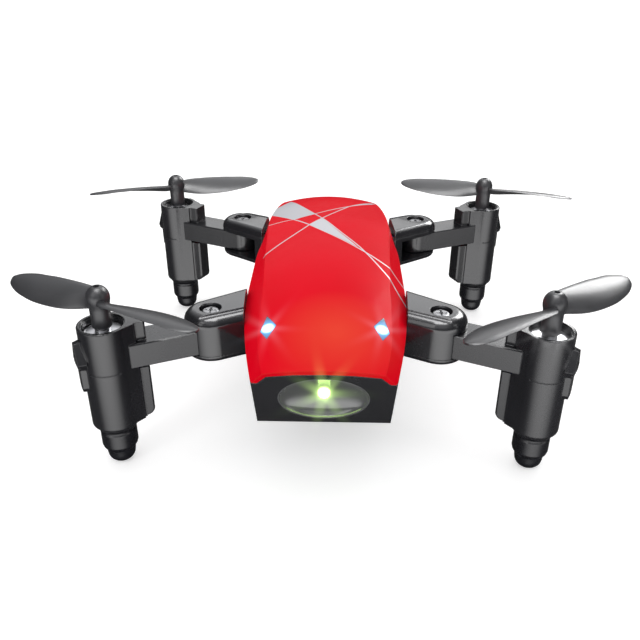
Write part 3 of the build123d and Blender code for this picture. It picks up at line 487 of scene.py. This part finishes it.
PIECES = {
    "top_cover": RED, "lower_chassis": GLOSS, "ear_frame": GLOSS,
    "nose_panel": PANEL, "tail_panel": PANEL,
    "headlight_reflector": BOWL, "headlight_led": LAMP,
    "side_light_window_left": WINDOW, "side_light_window_right": WINDOW,
    "side_leds": SIDE_LAMP,
    "flight_board": BOARD, "flight_board_chips": CHIP, "motor_driver_chips": CHIP,
    "crystal_and_choke": PLATED, "board_passives": CERAMIC,
    "battery": WRAP, "battery_protection_board": BOARD, "battery_foam_pad": FOAM,
    "battery_leads": BATTERY_WIRE, "charge_port": PLATED,
    "power_switch_base": PLATED, "power_switch_knob": KNOB,
    "antenna_wire": ANTENNA, "motor_leads_in_body": MOTOR_WIRE,
    "pivot_screws": SCREW, "cover_screws": SCREW,
}
CORNER_PIECES = {
    "arm": ARMS, "arm_lid": LID, "foot": FOOT, "motor": CAN, "motor_brush_cap": CAP,
    "motor_wires": MOTOR_WIRE, "propeller": PROP, "motor_shaft": SHAFT,
}


def dress_pieces():
    pieces = dict(PIECES)
    for corner in CORNERS:
        pieces.update({f"{piece}_{corner}": k for piece, k in CORNER_PIECES.items()})
    for piece, k in pieces.items():
        slots = nodes[piece].data.materials
        slots.clear()
        slots.append(k.material)


def smooth_pieces():
    """Shades the faceted curves smooth and keeps real edges crisp."""
    for piece in nodes.values():
        bpy.context.view_layer.objects.active = piece
        for other in bpy.data.objects:
            other.select_set(False)
        piece.select_set(True)
        bpy.ops.object.shade_smooth_by_angle(angle=SMOOTH_ANGLE)


dress_pieces()
smooth_pieces()


# ------------------------------------------------------------------ floor
def floor_material():
    """Pale to the camera; dark, with a pool of light, in the drone's reflections."""
    k = Surface("floor_pale")
    path = k.node("ShaderNodeLightPath").outputs
    pale = k.mix(k.spread(k.noise(scale=3, detail=2)), (0.80, 0.80, 0.80), (0.84, 0.84, 0.84))
    geometry = k.node("ShaderNodeNewGeometry").outputs
    depth = k.xyz(k.to_camera(geometry["Incoming"]))[2]    # + points away from the viewer
    pool = k.ramp(depth, source=(0.16, 0.52), target=(0.0, 3.0))
    camera_glow = 0.42
    strength = k.add(k.mul(path["Is Camera Ray"], camera_glow),
                     k.mul(path["Is Glossy Ray"], pool))
    k.set(Base_Color=k.mix(path["Is Glossy Ray"], pale, (0.06, 0.06, 0.06)),
          Roughness=0.7, Specular_IOR_Level=0.1,
          Emission_Color=(1, 1, 1), Emission_Strength=strength)
    # from below the floor is see-through, so the underside can be looked at
    clear = k.node("ShaderNodeBsdfTransparent").outputs[0]
    k.plug(k.output.inputs[0],
           k.mix_shader(geometry["Backfacing"], k.shader.outputs[0], clear))
    return k.material


def stage_floor():
    mesh = bpy.data.meshes.new("floor")
    grid = bmesh.new()
    bmesh.ops.create_grid(grid, x_segments=8, y_segments=8, size=FLOOR_HALF_SIZE)
    grid.to_mesh(mesh)
    grid.free()
    floor = bpy.data.objects.new("floor", mesh)
    scene.collection.objects.link(floor)
    lowest = min(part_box(f"foot_{corner}")[0].z for corner in CORNERS)
    floor.location.z = lowest - FLOOR_GAP
    mesh.materials.append(floor_material())
    floor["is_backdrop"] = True


stage_floor()


# ------------------------------------------------------------------ world
def light_world():
    """White to the camera, even white for diffuse light, and for reflections
    a dim room with a broad soft panel beyond the drone."""
    world = bpy.data.worlds.new("studio")
    scene.world = world
    world.use_nodes = True
    k = Graph(world.node_tree)

    def background(colour, strength):
        node = k.node("ShaderNodeBackground")
        k.plug(node.inputs[0], colour)
        k.plug(node.inputs[1], strength)
        return node.outputs[0]

    def fade(value, source, target):
        return k.ramp(value, source, target, interpolation="SMOOTHSTEP")

    direction = k.node("ShaderNodeTexCoord").outputs["Generated"]
    height = k.xyz(direction)[2]
    sideways = k.math("ABSOLUTE", k.xyz(k.to_camera(direction))[0])
    panel = k.product([fade(height, source=(0.20, 0.45), target=(0.0, 1.0)),
                       fade(height, source=(0.75, 1.0), target=(1.0, 0.25)),
                       fade(sideways, source=(0.15, 0.75), target=(1.0, 0.0))])
    panel_strength, room_strength = 1.05, 0.07
    room = k.add(k.mul(panel, panel_strength), room_strength)
    path = k.node("ShaderNodeLightPath").outputs
    even = background(colour=(1, 1, 1), strength=0.90)
    mirror = background(colour=(0.96, 0.97, 1.0), strength=room)
    seen = background(colour=(1, 1, 1), strength=1.0)
    unseen = k.mix_shader(path["Is Diffuse Ray"], mirror, even)
    output = k.node("ShaderNodeOutputWorld")
    k.plug(output.inputs[0], k.mix_shader(path["Is Camera Ray"], unseen, seen))


light_world()

# ------------------------------------------------------------------ lights
LIGHT_TARGET = Vector((0, 0, 0.01))


def area(name, location, size, power, diffuse=True):
    """Rectangular light aimed at the body; diffuse=False shows only in reflections."""
    light = bpy.data.lights.new(name, "AREA")
    light.shape = "RECTANGLE"
    light.size, light.size_y = size
    light.energy = power
    lamp = bpy.data.objects.new(name, light)
    scene.collection.objects.link(lamp)
    lamp.location = location
    aim = LIGHT_TARGET - Vector(location)
    lamp.rotation_euler = aim.to_track_quat("-Z", "Y").to_euler()
    lamp.visible_diffuse = diffuse


area("key_left", location=(-0.30, -0.38, 0.30), size=(0.16, 0.34), power=0.45)
area("fill_right", location=(0.45, -0.20, 0.20), size=(0.10, 0.34), power=0.20)
area("top", location=(0.06, 0.22, 0.50), size=(0.55, 0.40), power=0.35)
area("back_rim", location=(0.0, 0.50, 0.22), size=(0.50, 0.14), power=0.25)
area("overhead", location=(0.0, -0.09, 0.60), size=(0.40, 0.40), power=5.5, diffuse=False)
area("back_right", location=(0.30, 0.40, 0.32), size=(0.24, 0.24), power=2.6, diffuse=False)

# ------------------------------------------------------------------ camera
CAMERA_PLACE = (0.00151, -0.13789, 0.07415)
CAMERA_DOWN = math.radians(27.934)      # tilt below the horizon
CAMERA_YAW = math.radians(-1.270)       # from +Y towards +X
CAMERA_ROLL = math.radians(0.186)


def place_camera():
    lens = bpy.data.cameras.new("camera")
    lens.sensor_width = 36.0
    lens.lens = 39.43
    lens.clip_start = 0.005
    camera = bpy.data.objects.new("camera", lens)
    scene.collection.objects.link(camera)
    forward = Vector((math.sin(CAMERA_YAW) * math.cos(CAMERA_DOWN),
                      math.cos(CAMERA_YAW) * math.cos(CAMERA_DOWN),
                      -math.sin(CAMERA_DOWN)))
    level_right = Vector((math.cos(CAMERA_YAW), -math.sin(CAMERA_YAW), 0))
    level_up = level_right.cross(forward)
    right = math.cos(CAMERA_ROLL) * level_right + math.sin(CAMERA_ROLL) * level_up
    up = -math.sin(CAMERA_ROLL) * level_right + math.cos(CAMERA_ROLL) * level_up
    matrix = Matrix((right, up, -forward)).transposed().to_4x4()
    matrix.translation = Vector(CAMERA_PLACE)
    camera.matrix_world = matrix
    scene.camera = camera


place_camera()
scene.view_settings.view_transform = "Standard"


# ------------------------------------------------------------------ lamp sparkle
def glare(k, kind, source, **values):
    node = k.node("CompositorNodeGlare", glare_type=kind)
    for key, value in values.items():
        key = key.replace("_", " ")
        # an input may be missing, as each kind of glare has its own set
        if key in node.inputs:
            node.inputs[key].default_value = value
    k.plug(node.inputs["Image"], source)
    return node.outputs[0]


def add_sparkle():
    """A halo and a star round the small lamps."""
    scene.use_nodes = True
    k = Graph(scene.node_tree)
    layer = k.node("CompositorNodeRLayers")
    final = k.node("CompositorNodeComposite")
    halo = glare(k, "FOG_GLOW", layer.outputs["Image"], Threshold=2.0, Size=0.28, Strength=0.35)
    star = glare(k, "STREAKS", halo, Threshold=2.0, Strength=0.50, Streaks=7,
                 Streaks_Angle=math.radians(24), Iterations=3, Fade=0.80, Color_Modulation=0.0)
    k.plug(final.inputs["Image"], star)


add_sparkle()

{"cad": cad_bounds, "visual": plain(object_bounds())}
